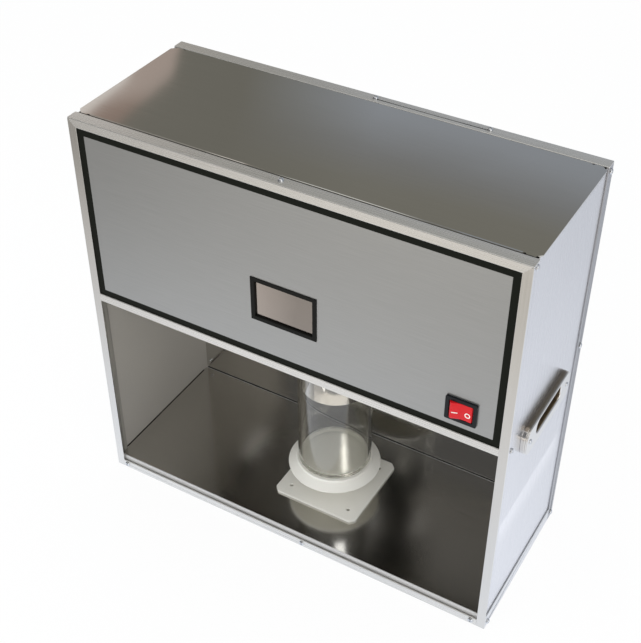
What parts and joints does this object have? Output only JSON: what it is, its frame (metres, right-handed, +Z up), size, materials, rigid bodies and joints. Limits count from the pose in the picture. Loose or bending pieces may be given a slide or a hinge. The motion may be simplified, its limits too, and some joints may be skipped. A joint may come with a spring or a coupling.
{
  "type": "bench-top quartz water still",
  "caption": "Sheet-metal cabinet with a closed still compartment above an open bay, where a glass vessel on a moulded seat collects the distilled water.",
  "frame": {"origin": "middle of the whole footprint, at the level of the bench top", "axes": "+Z up; the front with its control panel and open bay faces -Y; +X to the right of someone who faces the front, on the side of the switch"},
  "size_m": [0.5244, 0.2282, 0.5022],
  "materials": {
    "frame_steel": "satin stainless angle trim, fine lengthwise grain",
    "side_steel": "pale satin stainless sheet",
    "cover_steel": "brushed stainless sheet that mirrors a dark room",
    "bay_steel": "half-mirror stainless sheet",
    "panel_film": "fine-brushed silver film",
    "black_print": "semi-gloss black print",
    "black_rubber": "matte black rubber",
    "pane_glass": "clear glass sheet",
    "switch_black": "moulded black plastic, slight gloss",
    "switch_red": "glossy translucent red plastic",
    "tin_plate": "tin-plated tabs",
    "handle_chrome": "bright chrome plating",
    "screw_zinc": "bright zinc-plated steel",
    "seat_plastic": "off-white moulded plastic, matte",
    "vessel_glass": "clear laboratory glass",
    "skirt_steel": "polished stainless steel",
    "quartz": "clear fused quartz",
    "cap_fluoroplastic": "waxy white plastic",
    "pipe_steel": "drawn stainless tube",
    "heater_quartz": "milky quartz",
    "ceramic_white": "unglazed white ceramic",
    "brass": "turned brass",
    "copper_link": "rolled copper strip",
    "cradle_steel": "folded stainless sheet",
    "gland_black": "moulded black nylon",
    "block_ivory": "moulded ivory plastic",
    "wire_black": "black insulation"
  },
  "bodies": {
    "cabinet": {"front_left_post": "frame_steel", "front_right_post": "frame_steel", "front_top_rail": "frame_steel", "front_middle_rail": "frame_steel", "front_bottom_rail": "frame_steel", "back_left_post": "frame_steel", "back_right_post": "frame_steel", "back_top_rail": "frame_steel", "back_bottom_rail": "frame_steel", "left_base_angle": "frame_steel", "right_base_angle": "frame_steel", "left_side_panel": "side_steel", "right_side_panel": "side_steel", "top_cover": "cover_steel", "back_panel": "side_steel", "floor_tray": "bay_steel", "partition_shelf": "bay_steel", "shelf_brackets": "cradle_steel", "control_panel": "panel_film", "panel_overlay": "panel_film", "panel_border": "black_print", "window_frame": "black_rubber", "window_pane": "pane_glass", "switch_housing": "switch_black", "switch_tabs": "tin_plate", "left_handle": "handle_chrome", "right_handle": "handle_chrome", "handle_screws": "screw_zinc", "front_screws": "screw_zinc", "top_screws": "screw_zinc", "left_side_screws": "screw_zinc", "right_side_screws": "screw_zinc", "back_screws": "screw_zinc", "drip_skirt": "skirt_steel", "quartz_still": "quartz", "left_end_cap": "cap_fluoroplastic", "right_end_cap": "cap_fluoroplastic", "cooling_pipe": "pipe_steel", "heater_rods": "heater_quartz", "heater_caps": "ceramic_white", "heater_studs": "brass", "heater_links": "copper_link", "still_cradles": "cradle_steel", "still_straps": "cradle_steel", "strap_screws": "screw_zinc", "feed_pipe": "pipe_steel", "overflow_pipe": "pipe_steel", "hose_nozzles": "brass", "nozzle_nuts": "brass", "cord_gland": "gland_black", "gland_nut": "gland_black", "terminal_block": "block_ivory", "terminal_screws": "brass", "fuse_holder": "gland_black", "earth_stud": "brass", "wires": "wire_black"},
    "rocker": {"switch_rocker": "switch_red"},
    "vessel": {"receiving_vessel": "vessel_glass"},
    "seat": {"vessel_seat": "seat_plastic"}
  },
  "joints": [
    {"name": "power_rocker", "type": "hinge", "parent": "cabinet", "child": "rocker", "pos_m": [0.202, -0.10594, 0.307], "axis": [0, 0, 1], "range_deg": [-18, 0]},
    {"name": "vessel_lift", "type": "slide", "parent": "cabinet", "child": "vessel", "axis": [0, 0, 1], "range_m": [0, 0.055]},
    {"name": "seat_draw", "type": "slide", "parent": "cabinet", "child": "seat", "axis": [0, -1, 0], "range_m": [0, 0.12]}
  ]
}
